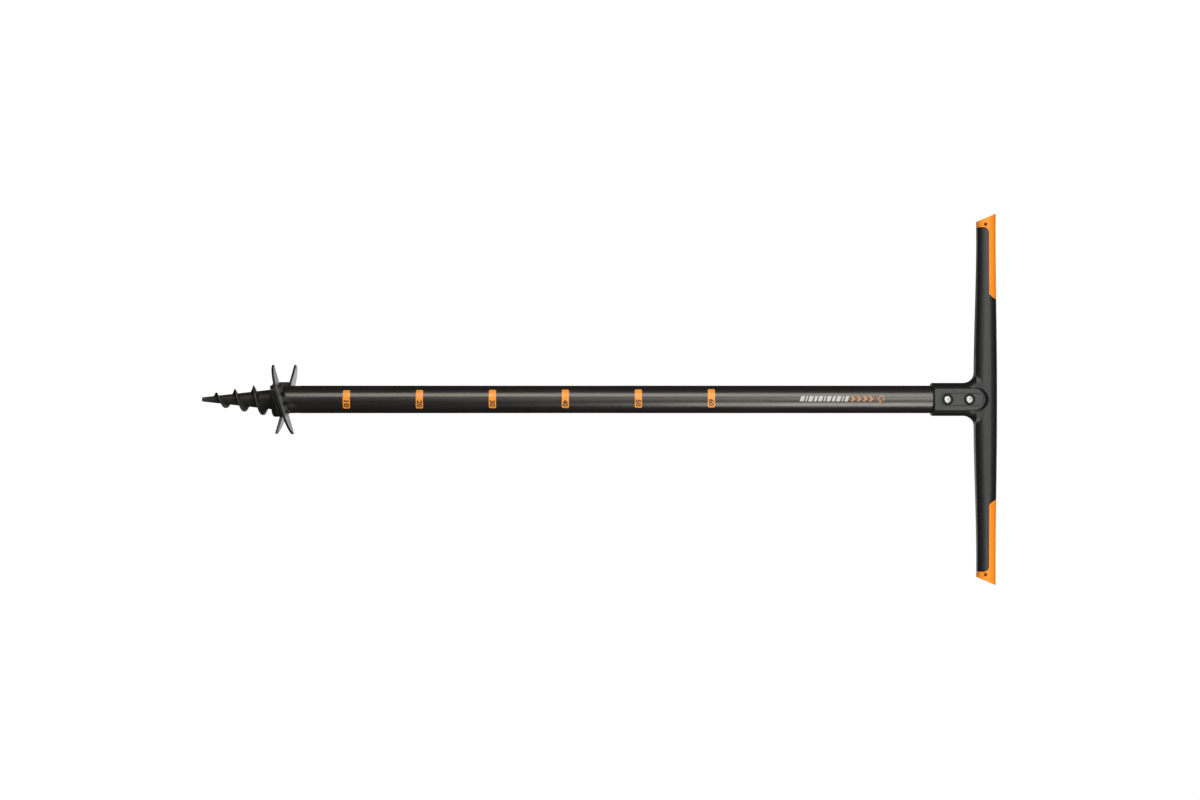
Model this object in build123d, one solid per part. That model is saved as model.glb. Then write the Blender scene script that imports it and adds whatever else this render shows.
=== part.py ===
from build123d import *
import os
from math import ceil, cos, pi, radians, sin, sqrt

# A hand soil auger, 1.1 m long: a screw point, two half-disc cutters on a cast hub,
# a painted steel shaft with depth labels, and a T-handle with a soft skin.
# Millimetres.  +Z runs from the point to the handle, X lies along the handle,
# -Y is the front with the handle screws.  The origin is the tip of the point.

# ---- overall ----
TOTAL_H = 1094.9
HANDLE_SPAN = 513.0

# ---- shaft ----
TUBE_R = 19.0
TUBE_WALL = 1.5
TUBE_BORE_R = TUBE_R - TUBE_WALL
TUBE_Z0 = 104.0
TUBE_Z1 = 1067.0

# ---- pilot screw ----
TIP_R = 2.6
ROOT_R0 = 3.0
ROOT_R1 = 13.9
TIP_EDGE = 0.8
SCREW_H = 98.0
PITCH = 25.7
THREAD_Z0 = 11.0
THREAD_PEAK_Z = 85.0
THREAD_Z1 = 96.0
THREAD_RUN_OUT = 1.5
CREST_R_AT_0 = 5.8
CREST_TAPER = 0.189
CREST_HALF = 0.7
CREST_SINK = 1.6
FLANK_SLOPE = 0.45
THREAD_SINK = 1.3
THREAD_PHASE = 63.7
THREAD_STEPS = 14
SHANK_R = 10.0
SHANK_Z1 = 146.0

# ---- cutter blades ----
BLADE_R = 50.0
BLADE_T = 3.0
BLADE_TILT = 15.7
FRONT_BLADE_Z = 112.6
BACK_BLADE_Z = 114.3
BLADE_NOTCH_R = 21.0
BLADE_EDGE_Y = 4.5
LIP_WIDTH = 5.0
LIP_ANGLE = 24.0
LIP_X = -68.9
BLADE_CORNER = 2.0

# ---- blade bolts, M8 with a 13 mm hexagon ----
BOLT_X = 13.0
BOLT_Y = 25.0
BOLT_R = 4.0
BOLT_HOLE_R = 4.25
BOLT_HEAD_AF = 13.0
BOLT_HEAD_H = 5.3
BOLT_HEAD_R = 7.25
BOLT_HEAD_BEVEL_H = 0.5
BOLT_HEAD_BEVEL_R = 0.9
BOLT_BEVEL = 0.8
BOLT_L = 12.0

# ---- hub ----
HUB_R = 24.0
HUB_RIM = 2.4
HUB_BORE_R = TUBE_R + 0.05
HUB_TOP = 130.0
SPIGOT_R = TUBE_BORE_R - 0.1
SPIGOT_Z1 = 150.0
SPIGOT_BEVEL = 1.5
WING_T = 7.5
WING_ROOT = 18.0
BOSS_R = 9.0
PIN_R = 4.0
PIN_Z = 132.0
PIN_SHORT = 0.2
PIN_BEVEL = 0.5

# ---- depth labels ----
LABEL_Z0 = 201.0
LABEL_STEP = 100.0
LABEL_COUNT = 6
LABEL_H = 9.8
LABEL_HALF_W = 12.6
LABEL_CORNER = 1.8
LABEL_T = 0.15
LABEL_DRIFT = 1.2

# ---- crossbar of the T-handle ----
BAR_TOP = (1094.9, 1094.2, 1093.5)
BAR_BOTTOM = (1064.4, 1066.1, 1067.3)
BAR_DEPTH = (34.0, 32.0, 29.0)
BAR_X = (0.0, 115.0, 262.0)
BAR_BULGE = 3.0
TOP_CORNER = 12.0
BOTTOM_CORNER = 11.0
SKIN = 2.6
END_LEAN = 0.426
CORE_END = 228.0

# ---- stem of the T-handle ----
STEM_Z0 = 1004.6
STEM_W = 45.5
STEM_D = 42.0
STEM_CORNER = 18.0
STEM_MOUTH = 2.4
STEM_FLARE = 16.0
FLARE_TOP = 1064.8
FLARE_SWEEP = 86.0
FLARE_STEPS = 10
FLARE_LEAD_STEPS = 4
SHOULDER_Z0 = 1041.0
SHOULDER_Z1 = 1064.4
SHOULDER_Y = 15.2
SHOULDER_CORNER = 14.6
ROOT_Z1 = 1072.2
ROOT_SPREAD = 1.0
CORE_HALF_W = 20.9
CORE_HALF_D = 18.4
CORE_CORNER = 16.1
NECK_CORNER = 9.4

# ---- front and back pads of the core ----
PAD_Y = 24.5
PAD_W = 29.4
PAD_Z0 = 1006.4
PAD_Z1 = 1082.0
PAD_FLAT_Z1 = 1074.3
PAD_ROOT_W = 31.8
PAD_ROOT_Y = 16.0
RECESS_W = 18.0
RECESS_Z0 = 1012.5
RECESS_Z1 = 1072.8
RECESS_CORNER = 7.5
RECESS_DEPTH = 1.2

# ---- orange end inserts ----
STRIP_Z = 1082.1
STRIP_X0 = 136.8
STRIP_SWEEP = 8.5
STRIP_BEND_X = 4.7
STRIP_BEND_Z = 3.4
GRIP_END_X = 236.7
GRIP_END_R = 8.0
HANG_R = 2.5
HANG_X = 240.4
HANG_Z = 1077.3

# ---- crossbar tube ----
BAR_TUBE_R = 8.0
BAR_TUBE_WALL = 1.5
BAR_TUBE_END = 226.0
BAR_TUBE_Z = 1079.8
INSERT_SPIGOT = 20.0

# ---- handle screws, M6 with a pan head ----
SCREW_Z = (1023.4, 1053.6)
SCREW_R = 3.0
SCREW_HOLE_R = 3.2
SCREW_HEAD_R = 5.15
SCREW_HEAD_H = 3.3
SCREW_HEAD_ROUND = 1.6
SCREW_KEY_AF = 4.0
SCREW_KEY_DEPTH = 2.2
COUNTERBORE_R = 8.0
COUNTERBORE_DEPTH = 3.2
NUT_AF = 10.0
NUT_PLAY = 0.2
NUT_T = 4.0
NUT_Y = 20.4
SLEEVE_R = 4.5
SLEEVE_HALF = 16.8
PLUG_Z0 = 1008.0

EXTRA = 20.0


def upright(radius, z0, z1):
    """A round bar along Z."""
    return Pos(0, 0, (z0 + z1) / 2) * Cylinder(radius, z1 - z0)


def along_y(radius, x, z, y0, y1):
    """A round bar along Y."""
    bar = Rot(90, 0, 0) * Cylinder(radius, y1 - y0)
    return Pos(x, (y0 + y1) / 2, z) * bar


def along_x(radius, z, x0, x1):
    """A round bar along X."""
    bar = Rot(0, 90, 0) * Cylinder(radius, x1 - x0)
    return Pos((x0 + x1) / 2, 0, z) * bar


def front_plane(y):
    """A sketch plane parallel to XZ whose local x, y are the world's X, Z."""
    return Plane(origin=(0, y, 0), x_dir=(1, 0, 0), z_dir=(0, -1, 0))


def root_radius(z):
    return ROOT_R0 + (ROOT_R1 - ROOT_R0) * (z - TIP_EDGE) / (SCREW_H - TIP_EDGE)


def crest_radius(z):
    """Outer radius of the thread: it grows with height, then runs out at the hub."""
    start_fade = (z - THREAD_Z0) / PITCH * 4
    grown = CREST_R_AT_0 + CREST_TAPER * z
    if start_fade < 1:
        low = root_radius(z) - CREST_SINK
        grown = low + (grown - low) * max(start_fade, 0)
    if z <= THREAD_PEAK_Z:
        return grown
    fade = (z - THREAD_PEAK_Z) / (THREAD_Z1 - THREAD_PEAK_Z)
    return grown + (root_radius(z) - CREST_SINK - grown) * fade ** THREAD_RUN_OUT


def thread_edge(radius_of, offset_of):
    """A line that winds round the point, right-handed, as one smooth curve."""
    turns = (THREAD_Z1 - THREAD_Z0) / PITCH
    count = ceil(turns * THREAD_STEPS)
    points = []
    for i in range(count + 1):
        turn = turns * i / count
        z = THREAD_Z0 + PITCH * turn
        angle = radians(THREAD_PHASE) + 2 * pi * turn
        r = radius_of(z)
        points.append((r * cos(angle), r * sin(angle), z + offset_of(z)))
    return Spline(*points).edge()


def thread_solid():
    def base_radius(z):
        return root_radius(z) - THREAD_SINK - CREST_SINK

    def base_half(z):
        return CREST_HALF + FLANK_SLOPE * (crest_radius(z) - base_radius(z))

    lower_crest = thread_edge(crest_radius, lambda z: -CREST_HALF)
    upper_crest = thread_edge(crest_radius, lambda z: CREST_HALF)
    lower_base = thread_edge(base_radius, lambda z: -base_half(z))
    upper_base = thread_edge(base_radius, base_half)
    ring = [lower_base, lower_crest, upper_crest, upper_base]
    faces = []
    for near, far in zip(ring, ring[1:] + ring[:1]):
        faces.append(Face.make_surface_from_curves(near, far))
    for end in (0, 1):
        corners = [edge @ end for edge in ring]
        faces.append(Face(Wire.make_polygon(corners, close=True)))
    return Solid(Shell(faces))


def pilot_screw():
    outline = Polyline(
        (0, 0),
        (TIP_R, 0),
        (ROOT_R0, TIP_EDGE),
        (ROOT_R1, SCREW_H),
        (SHANK_R, SCREW_H),
        (SHANK_R, SHANK_Z1),
        (0, SHANK_Z1),
        close=True,
    )
    core = revolve(Plane.XZ * make_face(outline), Axis.Z)
    screw = core + thread_solid()
    return screw - along_x(PIN_R, PIN_Z, -HUB_R, HUB_R)


def blade_frame(side):
    """The placing of a blade: side 0 is the front one, 1 the back one."""
    z = (FRONT_BLADE_Z, BACK_BLADE_Z)[side]
    return Rot(0, 0, 180 * side) * Pos(0, 0, z) * Rot(0, -BLADE_TILT, 0)


def bolt_spots():
    return [(-BOLT_X, -BOLT_Y), (BOLT_X, -BOLT_Y)]


def blade(side):
    half = Pos(0, -EXTRA - BLADE_R / 2 - BLADE_EDGE_Y) * Rectangle(4 * BLADE_R, 2 * EXTRA + BLADE_R)
    plan = Circle(BLADE_R) & half
    plan -= Circle(BLADE_NOTCH_R)
    for x, y in bolt_spots():
        plan -= Pos(x, y) * Circle(BOLT_HOLE_R)
    outer = plan.vertices().sort_by(Axis.X)
    plan = fillet([outer[0], outer[-1]], BLADE_CORNER)
    plate = extrude(plan, BLADE_T / 2, both=True)
    wedge = Rot(-LIP_ANGLE, 0, 0) * Pos(0, 0, EXTRA / 2) * Box(2 * BLADE_R, 2 * EXTRA, EXTRA)
    lip_y = -BLADE_EDGE_Y - LIP_WIDTH
    lip = Pos(LIP_X, lip_y, BLADE_T / 2) * wedge
    plate -= lip
    return blade_frame(side) * plate


def wing():
    """The bracket of the hub under one blade, in the blade's own frame."""
    reach = BOLT_X + BOSS_R
    plan = make_face(Polyline(
        (-WING_ROOT, 0),
        (-reach, -BOLT_Y),
        (reach, -BOLT_Y),
        (WING_ROOT, 0),
        close=True,
    ))
    plan += Pos(0, -BOLT_Y) * Rectangle(2 * BOLT_X, 2 * BOSS_R)
    for x, y in bolt_spots():
        plan += Pos(x, y) * Circle(BOSS_R)
    under = -BLADE_T / 2 - WING_T
    return Pos(0, 0, under) * extrude(plan, WING_T)


def above_seats():
    """What has to be free for the blades: everything over the two tilted seats."""
    size = 4 * BLADE_R
    block = Pos(0, -size / 2, size / 2 - BLADE_T / 2) * Box(size, size, size)
    cut = blade_frame(0) * block
    return cut + blade_frame(1) * block


def blade_hub():
    collar = upright(HUB_R, SCREW_H, HUB_TOP)
    collar = fillet(collar.edges().sort_by(Axis.Z)[0], HUB_RIM)
    for side in (0, 1):
        collar += blade_frame(side) * wing()
    collar -= above_seats()
    collar -= upright(HUB_R * 3, 0, SCREW_H)
    collar -= upright(HUB_BORE_R, TUBE_Z0, HUB_TOP)
    spigot = upright(SPIGOT_R, TUBE_Z0 - 1, SPIGOT_Z1)
    collar += chamfer(spigot.edges().sort_by(Axis.Z)[-1], SPIGOT_BEVEL)
    collar -= upright(SHANK_R, 0, SPIGOT_Z1 + EXTRA)
    for side in (0, 1):
        for x, y in bolt_spots():
            hole = Pos(x, y, -BOLT_L / 2) * Cylinder(BOLT_R, BOLT_L + BLADE_T)
            collar -= blade_frame(side) * hole
    return collar - along_x(PIN_R, PIN_Z, -HUB_R, HUB_R)


def hub_cross_pin():
    reach = TUBE_R - PIN_SHORT
    pin = along_x(PIN_R, PIN_Z, -reach, reach)
    return chamfer(pin.edges().filter_by(GeomType.CIRCLE), PIN_BEVEL)


def hexagon_bar(across_flats, height):
    return extrude(RegularPolygon(across_flats / 2, 6, major_radius=False), height)


def blade_bolts():
    length = BOLT_L - BLADE_T / 2
    bolts = []
    for side in (0, 1):
        for x, y in bolt_spots():
            head = hexagon_bar(BOLT_HEAD_AF, BOLT_HEAD_H)
            top = upright(BOLT_HEAD_R, 0, BOLT_HEAD_H)
            rim = top.edges().sort_by(Axis.Z)[-1]
            head &= chamfer(rim, BOLT_HEAD_BEVEL_H, BOLT_HEAD_BEVEL_R)
            shank = upright(BOLT_R, -length, 0)
            bolt = head + chamfer(shank.edges().sort_by(Axis.Z)[0], BOLT_BEVEL)
            bolts.append(blade_frame(side) * Pos(x, y, BLADE_T / 2) * bolt)
    return Compound(bolts)


def shaft_tube():
    tube = upright(TUBE_R, TUBE_Z0, TUBE_Z1) - upright(TUBE_BORE_R, 0, TUBE_Z1 + EXTRA)
    tube -= along_x(PIN_R, PIN_Z, -HUB_R, HUB_R)
    for z in SCREW_Z:
        tube -= along_y(SCREW_HOLE_R, 0, z, -STEM_D, STEM_D)
    return tube


def depth_label(index):
    z = LABEL_Z0 + LABEL_STEP * index
    plan = Pos(0, z) * RectangleRounded(2 * LABEL_HALF_W, LABEL_H, LABEL_CORNER)
    block = extrude(front_plane(0) * plan, 2 * TUBE_R)
    film = upright(TUBE_R + LABEL_T, z - LABEL_H, z + LABEL_H)
    film -= upright(TUBE_R, z - EXTRA, z + EXTRA)
    return Rot(0, 0, -LABEL_DRIFT * index) * (film & block)


def bar_section(x, depth, top, bottom, inset):
    """Cross-section of the crossbar: bulged sides, tight top corners, round underside."""
    half = depth / 2 - inset
    up = top - inset
    down = bottom + inset
    middle = (up + down) / 2
    side = half - BAR_BULGE
    sketch = Polyline((-side, down), (side, down))
    sketch += ThreePointArc((side, down), (half, middle), (side, up))
    sketch += Polyline((side, up), (-side, up))
    sketch += ThreePointArc((-side, up), (-half, middle), (-side, down))
    face = make_face(sketch)
    corners = face.vertices().sort_by(Axis.Y)
    face = fillet(corners[:2], BOTTOM_CORNER - inset)
    corners = [v for v in face.vertices() if v.Y > up - 0.01]
    face = fillet(corners, TOP_CORNER - inset)
    plane = Plane(origin=(x, 0, 0), x_dir=(0, 1, 0), z_dir=(1, 0, 0))
    return plane * face


def bar(inset):
    """The crossbar as one smooth loft through its sections."""
    stations = [(-x, i) for i, x in enumerate(BAR_X)][:0:-1]
    stations += [(x, i) for i, x in enumerate(BAR_X)]
    sections = []
    for x, i in stations:
        sections.append(bar_section(x, BAR_DEPTH[i], BAR_TOP[i], BAR_BOTTOM[i], inset))
    return loft(sections)


def end_cut(side):
    """The slanted cut that ends the crossbar."""
    top = HANDLE_SPAN / 2
    rise = TOTAL_H - BAR_BOTTOM[0] + EXTRA
    shape = Polyline(
        (side * top, TOTAL_H),
        (side * (top - END_LEAN * rise), TOTAL_H - rise),
        (side * (top + 4 * EXTRA), TOTAL_H - rise),
        (side * (top + 4 * EXTRA), TOTAL_H + EXTRA),
        (side * top, TOTAL_H + EXTRA),
        close=True,
    )
    return extrude(front_plane(0) * make_face(shape), 3 * EXTRA, both=True)


def outer_bar():
    return bar(0) - end_cut(1) - end_cut(-1)


def between(x0, x1):
    """A block that spans the crossbar from x0 to x1."""
    return Pos((x0 + x1) / 2, 0, TOTAL_H) * Box(abs(x1 - x0), STEM_D, 8 * EXTRA)


def stem_section(z):
    """Rounded rectangle of the stem at one height: it spreads along X and thins along Y."""
    climb = min(max(z - FLARE_TOP + STEM_FLARE, 0), STEM_FLARE)
    half_w = STEM_W / 2 + STEM_FLARE - sqrt(STEM_FLARE ** 2 - climb ** 2)
    share = min(max((z - SHOULDER_Z0) / (SHOULDER_Z1 - SHOULDER_Z0), 0), 1)
    half_d = STEM_D / 2 - (STEM_D / 2 - SHOULDER_Y) * (1 - cos(pi * share)) / 2
    corner = STEM_CORNER + (SHOULDER_CORNER - STEM_CORNER) * share
    return Pos(0, 0, z) * RectangleRounded(2 * half_w, 2 * half_d, corner)


def outer_stem():
    """The stem: a rounded square socket that flares smoothly into the crossbar."""
    bend = FLARE_TOP - STEM_FLARE
    step = pi / 2 * STEM_FLARE / FLARE_STEPS
    heights = [bend - step * i for i in range(FLARE_LEAD_STEPS, -1, -1)]
    for i in range(1, FLARE_STEPS + 1):
        angle = radians(FLARE_SWEEP * i / FLARE_STEPS)
        heights.append(bend + STEM_FLARE * sin(angle))
    socket = extrude(stem_section(STEM_Z0), heights[0] - STEM_Z0)
    mouth = socket.edges().group_by(Axis.Z)[0]
    socket = fillet(mouth, STEM_MOUTH)
    flare = loft([stem_section(z) for z in heights])
    flare &= Pos(0, 0, FLARE_TOP) * Box(2 * STEM_W, STEM_D, 2 * STEM_W)
    top = stem_section(heights[-1])
    inside = Pos(0, 0, ROOT_Z1 - heights[-1]) * offset(top, ROOT_SPREAD)
    root = loft([top, inside], ruled=True)
    return socket + flare + root


def pad_outline(half, end_z):
    """A strip up the middle of the handle that ends in a half circle."""
    low = PAD_Z0 - EXTRA
    turn_z = end_z - half
    path = [
        Line((-half, low), (half, low)),
        Line((half, low), (half, turn_z)),
        ThreePointArc((half, turn_z), (0, end_z), (-half, turn_z)),
        Line((-half, turn_z), (-half, low)),
    ]
    return make_face(Curve() + path)


def pad():
    """The flat pad of the core at the front, which slopes down to the bar at its round end."""
    root = pad_outline(PAD_ROOT_W / 2, PAD_Z1)
    flat = pad_outline(PAD_W / 2, PAD_FLAT_Z1)
    raised = loft([front_plane(-PAD_ROOT_Y) * root, front_plane(-PAD_Y) * flat], ruled=True)
    block = raised + extrude(front_plane(0) * root, PAD_ROOT_Y)
    keep = Pos(0, 0, PAD_Z0 + 5 * EXTRA) * Box(2 * STEM_W, 4 * PAD_Y, 10 * EXTRA)
    return block & keep


def recess():
    h = RECESS_Z1 - RECESS_Z0
    shape = Pos(0, RECESS_Z0 + h / 2) * RectangleRounded(RECESS_W, h, RECESS_CORNER)
    return extrude(front_plane(-PAD_Y + RECESS_DEPTH) * shape, EXTRA)


def core_envelope(inner):
    """Everything that the hard core fills, before its bores."""
    prism = RectangleRounded(2 * CORE_HALF_W, 2 * CORE_HALF_D, CORE_CORNER)
    stem = Pos(0, 0, PAD_Z0) * extrude(prism, SHOULDER_Z0 - SKIN - PAD_Z0)
    neck = RectangleRounded(2 * CORE_HALF_W, 2 * (SHOULDER_Y - SKIN), NECK_CORNER)
    throat = loft([
        Pos(0, 0, SHOULDER_Z0 - SKIN) * prism,
        Pos(0, 0, SHOULDER_Z1 - SKIN) * neck,
    ])
    throat += Pos(0, 0, SHOULDER_Z1 - SKIN) * extrude(neck, ROOT_Z1 - SHOULDER_Z1)
    front = pad()
    middle = inner & between(-CORE_END, CORE_END)
    return stem + throat + middle + front + mirror(front, Plane.XZ)


def handle_core(envelope):
    core = envelope - upright(TUBE_R, 0, TUBE_Z1)
    core -= along_x(BAR_TUBE_R, BAR_TUBE_Z, -CORE_END - 1, CORE_END + 1)
    core -= recess()
    outside = PAD_Y
    for z in SCREW_Z:
        core -= along_y(SCREW_HOLE_R, 0, z, -outside, outside)
        core -= along_y(COUNTERBORE_R, 0, z, -outside - 1, -outside + COUNTERBORE_DEPTH)
        pocket = hexagon_bar(NUT_AF + NUT_PLAY, outside)
        core -= Pos(0, NUT_Y, z) * Rot(-90, 0, 0) * pocket
    return core


def insert_region(side):
    """Outline of the orange part seen from the front, extruded right through."""
    far = HANDLE_SPAN / 2 + EXTRA
    low = BAR_BOTTOM[0] - EXTRA
    high = TOTAL_H + EXTRA
    sweep_x = STRIP_X0 + STRIP_SWEEP
    bend = (STRIP_X0 + STRIP_BEND_X, STRIP_Z + STRIP_BEND_Z)
    turn_x = GRIP_END_X - GRIP_END_R
    turn_z = STRIP_Z - GRIP_END_R
    turn = GRIP_END_R * sqrt(0.5)
    path = [
        Line((side * STRIP_X0, high), (side * STRIP_X0, TOTAL_H)),
        Spline(
            (side * STRIP_X0, TOTAL_H),
            (side * bend[0], bend[1]),
            (side * sweep_x, STRIP_Z),
        ),
        Line((side * sweep_x, STRIP_Z), (side * turn_x, STRIP_Z)),
        ThreePointArc(
            (side * turn_x, STRIP_Z),
            (side * (turn_x + turn), turn_z + turn),
            (side * GRIP_END_X, turn_z),
        ),
        Line((side * GRIP_END_X, turn_z), (side * GRIP_END_X, low)),
        Line((side * GRIP_END_X, low), (side * far, low)),
        Line((side * far, low), (side * far, high)),
        Line((side * far, high), (side * STRIP_X0, high)),
    ]
    outline = make_face(Curve() + path)
    return extrude(front_plane(0) * outline, STEM_D, both=True)


def end_insert(side, shell, inner, region, envelope):
    """Orange end of the crossbar: a strip along the top, a root and a spigot in the tube."""
    body = shell & region
    root = inner & between(side * CORE_END, side * HANG_X)
    body += root - end_cut(side)
    body -= envelope
    face = side * CORE_END
    body -= along_x(BAR_TUBE_R, BAR_TUBE_Z, *sorted((face, face - side)))
    spigot_end = side * (BAR_TUBE_END - INSERT_SPIGOT)
    body += along_x(BAR_TUBE_R - BAR_TUBE_WALL, BAR_TUBE_Z, *sorted((spigot_end, face + side)))
    return body - along_y(HANG_R, side * HANG_X, HANG_Z, -STEM_D, STEM_D)


def crossbar_tube():
    tube = along_x(BAR_TUBE_R, BAR_TUBE_Z, -BAR_TUBE_END, BAR_TUBE_END)
    reach = BAR_TUBE_END + 1
    return tube - along_x(BAR_TUBE_R - BAR_TUBE_WALL, BAR_TUBE_Z, -reach, reach)


def tube_head_plug():
    plug = upright(TUBE_BORE_R, PLUG_Z0, TUBE_Z1)
    plug = chamfer(plug.edges().sort_by(Axis.Z)[0], SPIGOT_BEVEL)
    for z in SCREW_Z:
        plug -= along_y(SLEEVE_R, 0, z, -TUBE_R, TUBE_R)
    return plug


def clamp_sleeves():
    sleeves = []
    for z in SCREW_Z:
        sleeve = along_y(SLEEVE_R, 0, z, -SLEEVE_HALF, SLEEVE_HALF)
        sleeves.append(sleeve - along_y(SCREW_HOLE_R, 0, z, -TUBE_R, TUBE_R))
    return Compound(sleeves)


def handle_screws():
    seat = -PAD_Y + COUNTERBORE_DEPTH
    screws = []
    for z in SCREW_Z:
        head = along_y(SCREW_HEAD_R, 0, z, seat - SCREW_HEAD_H, seat)
        head = fillet(head.edges().sort_by(Axis.Y)[0], SCREW_HEAD_ROUND)
        screw = head + along_y(SCREW_R, 0, z, seat, NUT_Y + NUT_T)
        key = Rot(90, 0, 0) * hexagon_bar(SCREW_KEY_AF, SCREW_KEY_DEPTH + 1)
        screws.append(screw - Pos(0, seat - SCREW_HEAD_H + SCREW_KEY_DEPTH, z) * key)
    return Compound(screws)


def handle_lock_nuts():
    nuts = []
    for z in SCREW_Z:
        nut = Pos(0, NUT_Y, z) * Rot(-90, 0, 0) * hexagon_bar(NUT_AF, NUT_T)
        nuts.append(nut - along_y(SCREW_R, 0, z, 0, STEM_D))
    return Compound(nuts)


def handle_parts():
    """The moulded pieces of the handle, cut from one another so that they fit."""
    shell = outer_bar()
    inner = bar(SKIN)
    envelope = core_envelope(inner)
    skin = shell + outer_stem()
    skin -= envelope
    skin -= upright(TUBE_R, 0, PAD_Z0 + EXTRA)
    parts = {"handle_core": handle_core(envelope)}
    for name, side in (("left_end_insert", -1), ("right_end_insert", 1)):
        region = insert_region(side)
        parts[name] = end_insert(side, shell, inner, region, envelope)
        skin -= region
        skin -= inner & between(side * CORE_END, side * GRIP_END_X)
    parts["grip_overmould"] = skin
    return parts


def all_parts():
    parts = {
        "pilot_screw": pilot_screw(),
        "blade_hub": blade_hub(),
        "hub_cross_pin": hub_cross_pin(),
        "front_blade": blade(0),
        "back_blade": blade(1),
        "blade_bolts": blade_bolts(),
        "shaft_tube": shaft_tube(),
        "tube_head_plug": tube_head_plug(),
        "clamp_sleeves": clamp_sleeves(),
        "crossbar_tube": crossbar_tube(),
        "handle_screws": handle_screws(),
        "handle_lock_nuts": handle_lock_nuts(),
    }
    for index in range(LABEL_COUNT):
        parts["depth_label_%d0" % (index + 1)] = depth_label(index)
    parts.update(handle_parts())
    return parts


os.makedirs("parts", exist_ok=True)
for node, shape in all_parts().items():
    export_step(shape, "parts/%s.step" % node)
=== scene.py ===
import math

import bmesh
import bpy
from mathutils import Matrix, Vector


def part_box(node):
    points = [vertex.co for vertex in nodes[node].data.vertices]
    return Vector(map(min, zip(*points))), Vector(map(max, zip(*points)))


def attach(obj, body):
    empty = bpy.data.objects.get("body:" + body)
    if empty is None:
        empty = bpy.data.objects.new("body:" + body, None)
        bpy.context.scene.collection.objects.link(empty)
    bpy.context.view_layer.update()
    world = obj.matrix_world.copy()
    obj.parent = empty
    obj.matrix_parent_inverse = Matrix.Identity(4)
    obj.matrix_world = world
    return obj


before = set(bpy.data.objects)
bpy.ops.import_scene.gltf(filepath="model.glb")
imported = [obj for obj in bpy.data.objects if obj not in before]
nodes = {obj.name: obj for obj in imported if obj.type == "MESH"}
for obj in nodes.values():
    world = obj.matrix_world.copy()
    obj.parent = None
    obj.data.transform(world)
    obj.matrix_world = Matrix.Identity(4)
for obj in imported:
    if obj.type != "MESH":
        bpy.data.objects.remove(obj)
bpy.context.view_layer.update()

scene = bpy.context.scene

# ---- materials ----


class Look:
    """A procedural material, built up node by node."""

    def __init__(self, name):
        self.material = bpy.data.materials.new(name)
        self.material.use_nodes = True
        self.tree = self.material.node_tree
        self.tree.nodes.clear()
        output = self.add("ShaderNodeOutputMaterial")
        self.surface = self.add("ShaderNodeBsdfPrincipled")
        self.tree.links.new(self.surface.outputs["BSDF"], output.inputs["Surface"])
        self.place = self.add("ShaderNodeTexCoord").outputs["Object"]
        split = self.add("ShaderNodeSeparateXYZ")
        self.put(split.inputs[0], self.place)
        self.x, self.y, self.z = split.outputs

    def add(self, kind, **settings):
        node = self.tree.nodes.new(kind)
        for key, value in settings.items():
            setattr(node, key, value)
        return node

    def put(self, socket, value):
        if isinstance(value, bpy.types.NodeSocket):
            self.tree.links.new(value, socket)
        else:
            socket.default_value = value

    def set(self, **values):
        """Sets or links the inputs of the surface shader: Base_Color=..., Roughness=..."""
        for key, value in values.items():
            self.put(self.surface.inputs[key.replace("_", " ")], value)

    def maths(self, operation, a, b=0.0):
        node = self.add("ShaderNodeMath", operation=operation)
        self.put(node.inputs[0], a)
        self.put(node.inputs[1], b)
        return node.outputs[0]

    def plus(self, a, b):
        return self.maths("ADD", a, b)

    def times(self, a, b):
        return self.maths("MULTIPLY", a, b)

    def length(self, a, b):
        """The length of a flat vector with the parts a and b."""
        return self.maths("SQRT", self.plus(self.times(a, a), self.times(b, b)))

    def noise(self, scale, detail=3.0, rough=0.55, stretch=(1, 1, 1)):
        """Noise in the piece's own space. A small number in stretch draws it out along that axis."""
        spread = self.add("ShaderNodeMapping")
        self.put(spread.inputs["Vector"], self.place)
        spread.inputs["Scale"].default_value = stretch
        node = self.add("ShaderNodeTexNoise")
        self.put(node.inputs["Vector"], spread.outputs[0])
        node.inputs["Scale"].default_value = scale
        node.inputs["Detail"].default_value = detail
        node.inputs["Roughness"].default_value = rough
        return node.outputs[0]

    def cells(self, scale):
        node = self.add("ShaderNodeTexVoronoi")
        self.put(node.inputs["Vector"], self.place)
        node.inputs["Scale"].default_value = scale
        return node.outputs["Distance"]

    def span(self, value, low, high, to_low=0.0, to_high=1.0, smooth=False):
        """Maps low..high to to_low..to_high, and holds it there outside that range."""
        node = self.add("ShaderNodeMapRange", clamp=True)
        if smooth:
            node.interpolation_type = "SMOOTHSTEP"
        self.put(node.inputs[0], value)
        node.inputs[1].default_value = low
        node.inputs[2].default_value = high
        node.inputs[3].default_value = to_low
        node.inputs[4].default_value = to_high
        return node.outputs[0]

    def blend(self, share, a, b):
        node = self.add("ShaderNodeMix", data_type="RGBA")
        self.put(node.inputs["Factor"], share)
        self.put(node.inputs[6], a)
        self.put(node.inputs[7], b)
        return node.outputs[2]

    def bumps(self, *layers):
        """Stacks (height, distance) layers of bump."""
        normal = None
        for height, distance in layers:
            node = self.add("ShaderNodeBump")
            self.put(node.inputs["Height"], height)
            node.inputs["Distance"].default_value = distance
            if normal is not None:
                self.put(node.inputs["Normal"], normal)
            normal = node.outputs[0]
        self.set(Normal=normal)

    def radius(self):
        """The distance from the shaft's axis."""
        return self.length(self.x, self.y)


def grey(value, warm=0.0):
    """A grey that leans to orange by the share warm."""
    return (value * (1 + warm), value, value * (1 - warm), 1)


RUBS_FADE = (0.14, 0.34)
HUB_FOOT = (0.092, 0.098)
TIP_WEAR = 0.02
CREST_AT_TIP = 0.0058
CREST_SLOPE = 0.189
# How far a blade's normal must lean towards Z for its face to take the painted reflection.
BLADE_FACE_FOR_REFLECTION = (0.72, 0.9)


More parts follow.
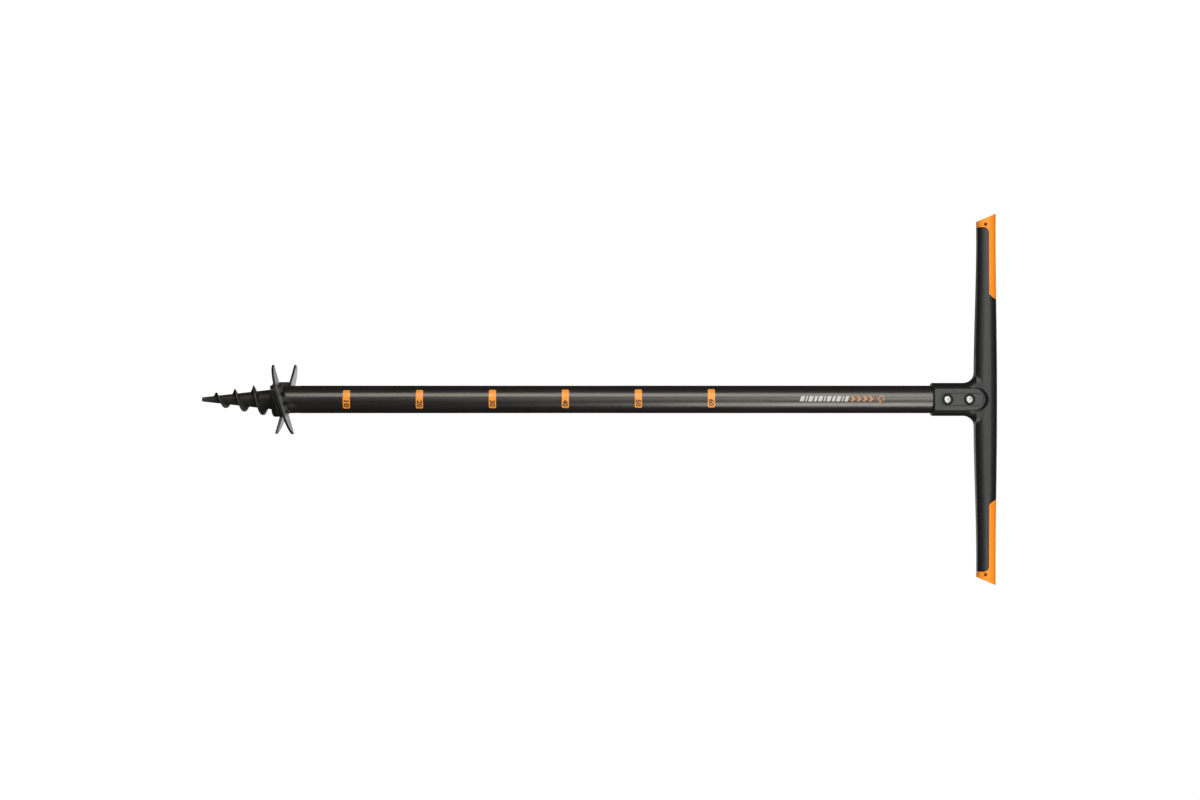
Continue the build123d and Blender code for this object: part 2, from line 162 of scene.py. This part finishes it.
def graphite_paint():
    """Dark metallic paint with fine flakes, rubbed at its low end where soil reaches."""
    look = Look("graphite_paint")
    streaks = look.noise(260, 4, 0.6, (1, 1, 0.03))
    flakes = look.cells(5200)
    clouds = look.noise(16, 4, 0.55)
    tone = look.plus(look.times(streaks, 0.6), look.times(clouds, 0.4))
    colour = look.blend(look.span(tone, 0.36, 0.64), grey(0.0095, 0.06), grey(0.0150, 0.10))
    glint = look.span(flakes, 0.05, 0.3, 1, 0)
    colour = look.blend(look.times(glint, 0.30), colour, grey(0.045, 0.12))
    rubs = look.span(look.noise(340, 6, 0.7, (1, 1, 0.12)), 0.62, 0.74)
    low_end = look.span(look.z, *RUBS_FADE, 1, 0, smooth=True)
    rubs = look.times(rubs, look.span(low_end, 0, 1, 0.04, 0.16))
    colour = look.blend(rubs, colour, grey(0.07, 0.05))
    look.set(
        Base_Color=colour,
        Metallic=0.15,
        Roughness=look.plus(look.span(tone, 0.3, 0.7, 0.27, 0.36), look.times(rubs, 0.25)),
        Specular_IOR_Level=0.95,
        Specular_Tint=(1, 0.96, 0.90, 1),
        Coat_Weight=0.2,
        Coat_Roughness=look.span(clouds, 0.3, 0.7, 0.16, 0.26),
    )
    look.bumps((look.noise(900, 2, 0.5), 0.00002), (streaks, 0.00003), (rubs, 0.00003))
    return look.material


def cast_black():
    """Black casting, worn to metal at the screw's tip and along the thread's crest."""
    look = Look("cast_black")
    grain = look.noise(1500, 5, 0.65)
    clouds = look.noise(60, 4, 0.6)
    crest = look.plus(look.times(look.z, CREST_SLOPE), CREST_AT_TIP)
    reach = look.maths("DIVIDE", look.radius(), crest)
    below_hub = look.span(look.z, *HUB_FOOT, 1, 0)
    wear = look.times(look.span(reach, 0.86, 0.99, 0, 1, smooth=True), below_hub)
    scuffs = look.span(look.noise(420, 5, 0.7), 0.42, 0.62)
    tip = look.span(look.z, 0.0, TIP_WEAR, 1, 0)
    bare = look.times(look.maths("MAXIMUM", wear, tip), look.times(scuffs, 0.55))
    colour = look.blend(look.span(clouds, 0.35, 0.65), grey(0.013), grey(0.021, 0.05))
    colour = look.blend(bare, colour, grey(0.16, 0.04))
    look.set(
        Base_Color=colour,
        Metallic=look.times(bare, 0.8),
        Roughness=look.span(look.noise(240, 3, 0.6), 0.3, 0.7, 0.34, 0.5),
        Specular_IOR_Level=0.55,
    )
    look.bumps((grain, 0.00006), (look.cells(900), 0.00004), (clouds, 0.0002))
    return look.material


def blade_steel():
    """A cutter's black rim, where the normal is far from Z, and its two faces painted light grey as
    a painted reflection of bright surroundings, with grinding in the roughness.
    """
    look = Look("blade_steel")
    geometry = look.add("ShaderNodeNewGeometry")
    split = look.add("ShaderNodeSeparateXYZ")
    look.put(split.inputs[0], geometry.outputs["Normal"])
    flat = look.span(look.maths("ABSOLUTE", split.outputs[2]), *BLADE_FACE_FOR_REFLECTION)
    grind = look.noise(420, 4, 0.6, (0.05, 1, 1))
    clouds = look.noise(45, 4, 0.6)
    spots = look.span(look.noise(700, 5, 0.7), 0.66, 0.76)
    # Painted reflection: this light grey stands in for bright surroundings mirrored in the faces;
    # the rim keeps the blade's own black.
    colour = look.blend(look.span(clouds, 0.3, 0.7), grey(0.20, 0.01), grey(0.27, 0.01))
    colour = look.blend(look.times(spots, 0.5), colour, grey(0.12, 0.10))
    colour = look.blend(flat, grey(0.016), colour)
    look.set(
        Base_Color=colour,
        Metallic=look.span(flat, 0, 1, 0.2, 0.6),
        Roughness=look.span(grind, 0.3, 0.7, 0.3, 0.46),
    )
    look.bumps((grind, 0.00004), (look.noise(1200, 3, 0.6), 0.00002), (spots, 0.00003))
    return look.material


def bright_metal(name, tone, rough, stretch=(1, 1, 1)):
    look = Look(name)
    brush = look.noise(900, 4, 0.6, stretch)
    clouds = look.noise(90, 4, 0.6)
    dull = look.span(look.noise(500, 5, 0.7), 0.55, 0.75)
    colour = look.blend(look.span(clouds, 0.3, 0.7), grey(tone * 0.85), grey(tone, 0.01))
    colour = look.blend(look.times(dull, 0.25), colour, grey(tone * 0.45, 0.05))
    look.set(
        Base_Color=colour,
        Metallic=0.95,
        Roughness=look.span(look.plus(brush, dull), 0.3, 1.6, rough * 0.75, rough * 1.4),
    )
    look.bumps((brush, 0.00002), (clouds, 0.00004))
    return look.material


def moulded(name, low, high, rough, grain_scale, grain_depth, gloss=0.5, tint=(1, 1, 1), painted_shade_mask=None):
    """Moulded plastic or rubber with a spark-eroded grain and slow flow marks.

    The last argument tells, from 0 to 1, where painted shade falls in a hollow: it darkens the
    colour and dulls the sheen there.
    """
    look = Look(name)
    grain = look.cells(grain_scale)
    fine = look.noise(grain_scale * 1.7, 4, 0.6)
    flow = look.noise(18, 4, 0.55, (0.4, 1, 1))
    dust = look.span(look.noise(260, 6, 0.72), 0.58, 0.78)
    dark = tuple(low * c for c in tint) + (1,)
    light = tuple(high * c for c in tint) + (1,)
    colour = look.blend(look.span(flow, 0.3, 0.7), dark, light)
    pale = tuple(min(1, high * c * 1.5 + 0.004) for c in tint) + (1,)
    colour = look.blend(look.times(dust, 0.18), colour, pale)
    shine = gloss
    if painted_shade_mask is not None:
        # Painted shade: the colour darkens and the sheen dulls where the mask says the surface lies
        # in a hollow.
        shade = painted_shade_mask(look)
        colour = look.blend(shade, colour, grey(low * 0.25))
        shine = look.span(shade, 0, 1, gloss, gloss * 0.1)
    look.set(
        Base_Color=colour,
        Roughness=look.plus(
            look.span(fine, 0.3, 0.7, rough - 0.04, rough + 0.05),
            look.span(dust, 0, 1, 0.0, 0.07),
        ),
        Specular_IOR_Level=shine,
    )
    look.bumps((grain, grain_depth), (fine, grain_depth * 0.6), (flow, 0.00025))
    return look.material


# The recess in the front pad, as the part has it, and how far the shade in it reaches
screws_low, screws_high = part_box("handle_screws")
core_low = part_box("handle_core")[0]
SCREW_HEAD_R = (screws_high[0] - screws_low[0]) / 2
PAD_FACE = -core_low[1]
RECESS_HALF_W = 0.0090
RECESS_HALF_H = 0.0302
RECESS_MIDDLE = core_low[2] + 0.0363
RECESS_CORNER = 0.0075
BELOW_FACE = (0.0004, 0.0009)
WALL_SHADE = (0.0002, 0.0022)
RING_REACH = 0.0027
RING_EDGE = 0.0004


def pad_painted_shade(look):
    """Painted shade at the foot of the recess's wall and in rings round the screw heads."""
    front = look.span(look.y, -PAD_FACE + BELOW_FACE[0], -PAD_FACE + BELOW_FACE[1])
    beside = look.maths("SUBTRACT", look.maths("ABSOLUTE", look.x), RECESS_HALF_W - RECESS_CORNER)
    height = look.maths("ABSOLUTE", look.maths("SUBTRACT", look.z, RECESS_MIDDLE))
    above = look.maths("SUBTRACT", height, RECESS_HALF_H - RECESS_CORNER)
    past_corner = look.length(look.maths("MAXIMUM", beside, 0), look.maths("MAXIMUM", above, 0))
    from_wall = look.maths("SUBTRACT", RECESS_CORNER, past_corner)
    shade = look.times(look.span(from_wall, *WALL_SHADE, 0.55, 0, smooth=True), front)
    # Painted shade rings round the screw heads, darkest next to each head.
    for middle in (screws_low[2] + SCREW_HEAD_R, screws_high[2] - SCREW_HEAD_R):
        reach = look.length(look.x, look.maths("SUBTRACT", look.z, middle))
        ring_r = SCREW_HEAD_R + RING_REACH
        shade = look.maths("MAXIMUM", shade, look.span(reach, ring_r, ring_r + RING_EDGE, 0.75, 0))
    return shade


def printed_ink(name, colour, rough):
    look = Look(name)
    patches = look.noise(900, 4, 0.6)
    dark = tuple(c * 0.88 for c in colour[:3]) + (1,)
    tone = look.blend(look.span(patches, 0.3, 0.7), dark, colour)
    look.set(
        Base_Color=tone,
        Roughness=look.span(look.noise(300, 3, 0.6), 0.3, 0.7, rough - 0.04, rough + 0.06),
    )
    look.bumps((patches, 0.00001), (look.noise(2500, 3, 0.6), 0.00001))
    return look.material


graphite = graphite_paint()
cast = cast_black()
blade = blade_steel()
bolt = bright_metal("bolt_steel", tone=0.13, rough=0.36)
zinc = bright_metal("zinc_steel", tone=0.55, rough=0.34, stretch=(1, 1, 0.2))
chrome = bright_metal("screw_chrome", tone=0.44, rough=0.40)
black_plastic = moulded(
    "black_plastic", low=0.012, high=0.018, rough=0.45, grain_scale=1800, grain_depth=0.00003,
)
core_plastic = moulded(
    "core_plastic", low=0.016, high=0.022, rough=0.42, grain_scale=1500, grain_depth=0.00005,
    gloss=0.6, tint=(1, 1, 1.02), painted_shade_mask=pad_painted_shade,
)
rubber = moulded(
    "grip_rubber", low=0.0070, high=0.0100, rough=0.42, grain_scale=1100, grain_depth=0.00005,
    gloss=0.55, tint=(1, 1.01, 1.03),
)
orange = moulded(
    "orange_plastic", low=0.76, high=0.86, rough=0.40, grain_scale=1500, grain_depth=0.00002,
    gloss=0.30, tint=(1, 0.28, 0.010),
)
label_film = printed_ink("label_orange", (0.86, 0.29, 0.020, 1), rough=0.32)
dark_ink = printed_ink("dark_ink", (0.035, 0.028, 0.022, 1), rough=0.42)
white_ink = printed_ink("white_ink", (0.46, 0.455, 0.44, 1), rough=0.45)
orange_ink = printed_ink("orange_ink", (0.52, 0.20, 0.045, 1), rough=0.45)

FINISH = {
    "pilot_screw": cast,
    "blade_hub": cast,
    "hub_cross_pin": zinc,
    "front_blade": blade,
    "back_blade": blade,
    "blade_bolts": bolt,
    "shaft_tube": graphite,
    "tube_head_plug": black_plastic,
    "clamp_sleeves": zinc,
    "crossbar_tube": zinc,
    "handle_screws": chrome,
    "handle_lock_nuts": zinc,
    "handle_core": core_plastic,
    "grip_overmould": rubber,
    "left_end_insert": orange,
    "right_end_insert": orange,
}
for name, node in nodes.items():
    finish = FINISH.get(name, label_film)
    if not node.material_slots:
        node.data.materials.append(finish)
    for slot in node.material_slots:
        slot.material = finish

# ---- prints that lie on the shaft ----

tube_low, tube_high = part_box("shaft_tube")
TUBE_R = (tube_high[0] - tube_low[0]) / 2
INK_T = 0.00004
SLICE = 0.0007
BOLDNESS = 0.035


def wrap(shape, name, radius, angle, height, finish):
    """Cuts a thin flat shape into narrow strips and bends it round the shaft.

    In the flat shape x runs round the shaft towards +X, y up the shaft and z outwards.
    """
    bmesh.ops.remove_doubles(shape, verts=shape.verts, dist=1e-6)
    reach = max(abs(v.co.x) for v in shape.verts)
    count = int(reach / SLICE) + 1
    for i in range(-count, count + 1):
        geometry = shape.verts[:] + shape.edges[:] + shape.faces[:]
        cut = (i * SLICE, 0, 0)
        bmesh.ops.bisect_plane(shape, geom=geometry, dist=1e-7, plane_co=cut, plane_no=(1, 0, 0))
    for vert in shape.verts:
        turn = angle + vert.co.x / radius
        out = radius + vert.co.z
        vert.co = Vector((out * math.sin(turn), -out * math.cos(turn), height + vert.co.y))
    bmesh.ops.recalc_face_normals(shape, faces=shape.faces)
    mesh = bpy.data.meshes.new(name)
    shape.to_mesh(mesh)
    shape.free()
    mesh.materials.append(finish)
    piece = bpy.data.objects.new(name, mesh)
    scene.collection.objects.link(piece)
    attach(piece, "root")
    return piece


def thicken(shape):
    """Gives flat faces in the plane z = 0 the thickness of a layer of ink."""
    made = bmesh.ops.extrude_face_region(shape, geom=shape.faces[:])
    for item in made["geom"]:
        if isinstance(item, bmesh.types.BMVert):
            item.co.z += INK_T
    return shape


def lettering(text, height, width):
    """A number as a thin solid, centred, scaled to that height and width."""
    curve = bpy.data.curves.new("number_" + text, "FONT")
    curve.body = text
    curve.resolution_u = 6
    curve.offset = BOLDNESS
    holder = bpy.data.objects.new("number_" + text, curve)
    scene.collection.objects.link(holder)
    graph = bpy.context.evaluated_depsgraph_get()
    mesh = bpy.data.meshes.new_from_object(holder.evaluated_get(graph))
    bpy.data.objects.remove(holder)
    bpy.data.curves.remove(curve)
    shape = bmesh.new()
    shape.from_mesh(mesh)
    bpy.data.meshes.remove(mesh)
    bmesh.ops.remove_doubles(shape, verts=shape.verts, dist=1e-5)
    xs = [v.co.x for v in shape.verts]
    ys = [v.co.y for v in shape.verts]
    for vert in shape.verts:
        vert.co.x = (vert.co.x - (min(xs) + max(xs)) / 2) * width / (max(xs) - min(xs))
        vert.co.y = (vert.co.y - (min(ys) + max(ys)) / 2) * height / (max(ys) - min(ys))
        vert.co.z = 0
    return thicken(shape)


def polygon(shape, points):
    shape.faces.new([shape.verts.new((x, y, 0)) for x, y in points])


DIGIT_H = 0.0074
DIGIT_W = 0.0098
DIGIT_FROM_MIDDLE = 0.0064
for name in sorted(nodes):
    if not name.startswith("depth_label_"):
        continue
    low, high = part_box(name)
    number = name.rsplit("_", 1)[1]
    label_r = -low[1]
    left = math.asin(low[0] / label_r)
    right = math.asin(high[0] / label_r)
    turn = (left + right) / 2 + DIGIT_FROM_MIDDLE / label_r
    shape = lettering(number, DIGIT_H, DIGIT_W)
    wrap(shape, "label_number_" + number, label_r, turn, (low[2] + high[2]) / 2, dark_ink)

MARK_Z = tube_low[2] + 0.719
MARK_TURN = -0.0010 / TUBE_R
MARK_HALF = 0.0036
LEAN = 0.0012
BROAD, MEDIUM, NARROW, LAST = 0.0054, 0.0036, 0.0020, 0.0044
BAR_WIDTHS = [BROAD, NARROW, BROAD, MEDIUM] * 2 + [BROAD, NARROW, LAST]
BAR_GAP = 0.0021
CHEVRONS = 4
CHEVRON_STEP = 0.0082
CHEVRON_ARM = 0.0034
CHEVRON_POINT = 0.0034
RING_INNER_R = 0.0031
RING_OUTER_R = 0.0043
RING_STEPS = 30
RING_START = 40
RING_SWEEP = 285
ARROW_LENGTH = 0.0034
ARROW_HALF = 0.0019
CHEVRONS_UP = 0.0685
ARROW_UP = 0.1105


def slanted_bars():
    """A row of slanted bars along the shaft, some broad and some narrow."""
    shape = bmesh.new()
    start = 0.0
    for width in BAR_WIDTHS:
        end = start + width
        polygon(shape, [
            (MARK_HALF, start - LEAN), (-MARK_HALF, start + LEAN),
            (-MARK_HALF, end + LEAN), (MARK_HALF, end - LEAN),
        ])
        start = end + BAR_GAP
    return thicken(shape)


def chevrons():
    """Chevrons that point up the shaft, each as two slanted arms."""
    shape = bmesh.new()
    for i in range(CHEVRONS):
        foot = i * CHEVRON_STEP
        top = foot + CHEVRON_ARM
        inner_foot, inner_top = foot + CHEVRON_POINT, top + CHEVRON_POINT
        polygon(shape, [(MARK_HALF, foot), (MARK_HALF, top), (0, inner_top), (0, inner_foot)])
        polygon(shape, [(0, inner_foot), (0, inner_top), (-MARK_HALF, top), (-MARK_HALF, foot)])
    return thicken(shape)


def turning_arrow():
    """An open ring with an arrow head: turn this way."""
    shape = bmesh.new()
    inner, outer = RING_INNER_R, RING_OUTER_R
    for i in range(RING_STEPS):
        corners = []
        for r, k in ((inner, i), (outer, i), (outer, i + 1), (inner, i + 1)):
            bearing = math.radians(RING_START + RING_SWEEP * k / RING_STEPS)
            corners.append((r * math.cos(bearing), r * math.sin(bearing)))
        polygon(shape, corners)
    bearing = math.radians(RING_START + RING_SWEEP)
    along = Vector((-math.sin(bearing), math.cos(bearing)))
    outwards = Vector((math.cos(bearing), math.sin(bearing)))
    middle = outwards * (inner + outer) / 2
    tip = middle + along * ARROW_LENGTH
    corners = (middle - outwards * ARROW_HALF, middle + outwards * ARROW_HALF, tip)
    polygon(shape, [tuple(corner) for corner in corners])
    return thicken(shape)


wrap(slanted_bars(), "print_bars", TUBE_R, MARK_TURN, MARK_Z, white_ink)
wrap(chevrons(), "print_chevrons", TUBE_R, MARK_TURN, MARK_Z + CHEVRONS_UP, orange_ink)
wrap(turning_arrow(), "print_turning_arrow", TUBE_R, MARK_TURN, MARK_Z + ARROW_UP, orange_ink)

# ---- floor, light and camera ----

FLOOR_R = 1.6


def floor():
    """A white disc that glows a little and throws no light or reflection on the tool."""
    mesh = bpy.data.meshes.new("floor")
    shape = bmesh.new()
    bmesh.ops.create_circle(shape, cap_ends=True, segments=96, radius=FLOOR_R)
    shape.to_mesh(mesh)
    shape.free()
    piece = bpy.data.objects.new("floor", mesh)
    scene.collection.objects.link(piece)
    look = Look("floor_white")
    look.set(
        Base_Color=look.blend(look.noise(9, 3, 0.5), grey(0.10), grey(0.12)),
        Roughness=look.span(look.noise(20, 3, 0.5), 0.3, 0.7, 0.8, 0.95),
        Specular_IOR_Level=0.0,
        Emission_Color=grey(1.0),
        Emission_Strength=0.93,
    )
    look.bumps((look.noise(60, 3, 0.5), 0.0002))
    mesh.materials.append(look.material)
    piece.visible_diffuse = False
    piece.visible_glossy = False


def backdrop_light():
    """A white surround for the camera and a dimmer one for light and reflections."""
    world = bpy.data.worlds.new("studio")
    scene.world = world
    world.use_nodes = True
    tree = world.node_tree
    tree.nodes.clear()
    output = tree.nodes.new("ShaderNodeOutputWorld")
    ray = tree.nodes.new("ShaderNodeLightPath")

    def glow(colour, strength):
        node = tree.nodes.new("ShaderNodeBackground")
        node.inputs["Color"].default_value = colour
        node.inputs["Strength"].default_value = strength
        return node.outputs[0]

    def choose(kind_of_ray, otherwise, then):
        node = tree.nodes.new("ShaderNodeMixShader")
        tree.links.new(ray.outputs[kind_of_ray], node.inputs[0])
        tree.links.new(otherwise, node.inputs[1])
        tree.links.new(then, node.inputs[2])
        return node.outputs[0]

    seen = glow((1, 1, 1, 1), 1.02)
    spread = glow((1, 0.995, 0.985, 1), 0.30)
    mirrored = glow((1, 1, 1, 1), 0.025)
    unseen = choose("Is Glossy Ray", spread, mirrored)
    tree.links.new(choose("Is Camera Ray", unseen, seen), output.inputs["Surface"])


def panel(name, place, aim, width, height, radiance, tint=(1, 1, 1)):
    """A soft light that faces its aim, with its height kept as near to Z as it can be."""
    light = bpy.data.lights.new(name, "AREA")
    light.shape = "RECTANGLE"
    light.size = width
    light.size_y = height
    light.energy = radiance * math.pi * width * height
    light.color = tint
    lamp = bpy.data.objects.new(name, light)
    back = (Vector(place) - Vector(aim)).normalized()
    side = Vector((0, 0, 1)).cross(back)
    if side.length < 1e-3:
        side = Vector((1, 0, 0))
    side.normalize()
    up = back.cross(side)
    turn = Matrix((side, up, back)).transposed().to_4x4()
    lamp.matrix_world = Matrix.Translation(Vector(place)) @ turn
    lamp.visible_camera = False
    scene.collection.objects.link(lamp)


WARM = (1, 0.975, 0.93)


def round_tube(bearing, distance, z):
    """A place at a bearing from the front, towards +X, round the shaft."""
    turn = math.radians(bearing)
    return (distance * math.sin(turn), -distance * math.cos(turn), z)


floor()
backdrop_light()
# name, place, aim, width, height, radiance
panel("key_strip", round_tube(-38, 1.3, 0.62), (0, 0, 0.62), 0.60, 1.64, 4.5, WARM)
panel("upper_strip", round_tube(43, 1.3, 1.10), (0, 0, 1.0), 0.68, 0.8, 5.6, WARM)
panel("front_fill", (-0.27, -2.1, 1.31), (0, 0, 1.0), 1.16, 0.38, 4.6)
panel("front_middle", (-0.1, -2.1, 0.86), (0, 0, 0.7), 0.9, 0.48, 1.5)
panel("front_low", (-0.1, -2.1, 0.36), (0, 0, 0.4), 0.9, 0.46, 0.7)
panel("bar_light", (0, -2.1, 1.86), (0, 0, 1.08), 2.6, 0.28, 3.8)
panel("back_fill", (0, 2.0, 2.1), (0, 0, 0.6), 1.0, 1.2, 3.0)
panel("back_strip", round_tube(172, 1.6, 0.85), (0, 0, 0.85), 0.4, 0.9, 0.9)
panel("back_low", (0, 1.9, 0.42), (0, 0, 0.1), 1.2, 0.36, 1.3)

# The camera lies on its side: the picture's right is +Z and its top is -X. FIELD is how much
# of the plane through the shaft the picture's width takes in.
DISTANCE = 2.7
FIELD = 1.6547
EYE_X = 0.0008
EYE_Z = 0.5484
SENSOR = 36
camera = bpy.data.cameras.new("camera")
camera.sensor_width = SENSOR
camera.lens = SENSOR * DISTANCE / FIELD
view = bpy.data.objects.new("camera", camera)
scene.collection.objects.link(view)
axes = Matrix(((0, -1, 0), (0, 0, -1), (1, 0, 0))).to_4x4()
view.matrix_world = Matrix.Translation(Vector((EYE_X, -DISTANCE, EYE_Z))) @ axes
scene.camera = view
scene.view_settings.view_transform = "Standard"
scene.view_settings.look = "None"
scene.view_settings.exposure = 0.0
scene.view_settings.gamma = 1.0
